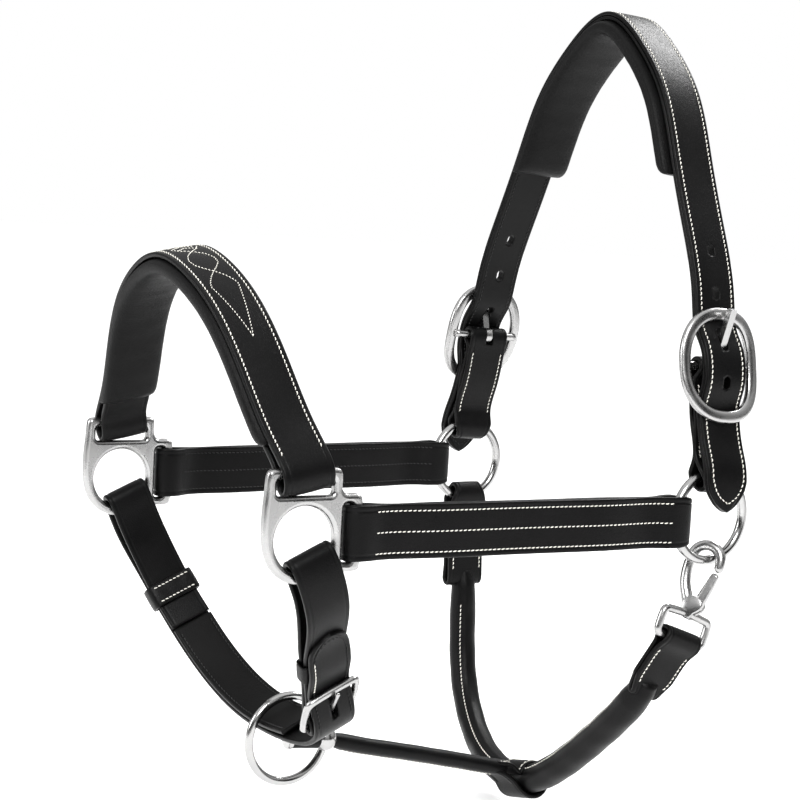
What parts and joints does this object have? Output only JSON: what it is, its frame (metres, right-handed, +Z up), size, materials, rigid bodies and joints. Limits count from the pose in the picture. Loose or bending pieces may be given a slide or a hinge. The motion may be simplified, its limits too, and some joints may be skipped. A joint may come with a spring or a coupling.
{
  "type": "leather headcollar",
  "caption": "Leather horse headcollar: padded crown and noseband, cheek and chin straps, rolled throat strap with snap hook, and steel rings, squares and buckles.",
  "frame": {"origin": "underside of the poll pad at the top of the crown, where it rests on the poll", "axes": "+Z up, -X towards the nose, -Y to the horse's near (left) side; symmetric about Y=0 except at the chin and throat fastenings"},
  "size_m": [0.2895, 0.2492, 0.4335],
  "materials": {
    "leather": "satin black bridle leather",
    "lining": "matt black flesh-side lining leather",
    "padding": "soft black padded leather",
    "steel": "satin polished stainless steel"
  },
  "bodies": {
    "crown": {"crown_strap": "leather", "crown_lining": "lining", "poll_pad": "padding", "near_chape": "leather", "far_chape": "leather", "near_buckle_frame": "steel", "far_buckle_frame": "steel"},
    "near_tongue": {"near_buckle_tongue": "steel"},
    "far_tongue": {"far_buckle_tongue": "steel"},
    "near_ring": {"near_jaw_ring": "steel"},
    "far_ring": {"far_jaw_ring": "steel"},
    "nose": {"near_cheekpiece": "leather", "far_cheekpiece": "leather", "near_halter_square": "steel", "far_halter_square": "steel", "noseband_strap": "leather", "noseband_pad": "padding"},
    "chin": {"chin_strap": "leather", "chin_strap_backing": "leather", "far_chin_keeper": "leather", "near_chin_billet": "leather", "near_chin_keeper": "leather", "chin_buckle_frame": "steel"},
    "chin_tongue": {"chin_buckle_tongue": "steel"},
    "ring": {"chin_ring": "steel"},
    "connector": {"ring_ball": "steel", "connector_stub": "leather", "stub_cap": "steel", "connector_strap": "leather"},
    "throat": {"throat_roll": "leather", "far_throat_tab": "leather", "near_throat_tab": "leather", "snap_body": "steel", "gate_pin": "steel", "gate_spring": "steel"},
    "gate": {"snap_gate": "steel"}
  },
  "joints": [
    {"name": "near_tongue_hinge", "type": "hinge", "parent": "crown", "child": "near_tongue", "pos_m": [-0.0106, -0.10031, -0.16828], "axis": [0.999, 0, -0.0457], "range_deg": [0, 6]},
    {"name": "far_tongue_hinge", "type": "hinge", "parent": "crown", "child": "far_tongue", "pos_m": [-0.0106, 0.10031, -0.16828], "axis": [-0.999, 0, 0.0457], "range_deg": [0, 6]},
    {"name": "near_ring_spin", "type": "hinge", "parent": "crown", "child": "near_ring", "pos_m": [-0.014, -0.108, -0.243], "axis": [0, 1, 0], "continuous": true},
    {"name": "far_ring_spin", "type": "hinge", "parent": "crown", "child": "far_ring", "pos_m": [-0.014, 0.108, -0.243], "axis": [0, 1, 0], "continuous": true},
    {"name": "nose_swing", "type": "hinge", "parent": "crown", "child": "nose", "pos_m": [-0.014, 0, -0.243], "axis": [0, 1, 0], "range_deg": [-8, 8]},
    {"name": "chin_swing", "type": "hinge", "parent": "nose", "child": "chin", "pos_m": [-0.242, 0, -0.2465], "axis": [0, 1, 0], "range_deg": [-5, 5]},
    {"name": "connector_swing", "type": "hinge", "parent": "chin", "child": "connector", "pos_m": [-0.18831, 0, -0.36709], "axis": [0, 1, 0], "range_deg": [-7.3, 7.3]},
    {"name": "throat_swing", "type": "hinge", "parent": "nose", "child": "throat", "pos_m": [-0.014, 0, -0.243], "axis": [0, 1, 0], "range_deg": [-3.3, 3.3]},
    {"name": "chin_tongue_hinge", "type": "hinge", "parent": "chin", "child": "chin_tongue", "pos_m": [-0.20011, -0.057, -0.34059], "axis": [0.9135, 0, 0.4067], "range_deg": [0, 6]},
    {"name": "chin_ring_spin", "type": "hinge", "parent": "chin", "child": "ring", "pos_m": [-0.18831, 0, -0.36709], "axis": [0, 1, 0], "continuous": true},
    {"name": "gate_hinge", "type": "hinge", "parent": "throat", "child": "gate", "pos_m": [-0.02025, -0.11116, -0.2872], "axis": [-0.826, -0.4769, 0.3006], "range_deg": [0, 20], "stiffness_Nm_per_rad": 0.06, "springref_deg": -20.05}
  ],
  "couplings": [
    {"joint": "connector_swing", "follows": "chin_swing", "ratio": -1.4487},
    {"joint": "throat_swing", "follows": "chin_swing", "ratio": 0.6414}
  ]
}
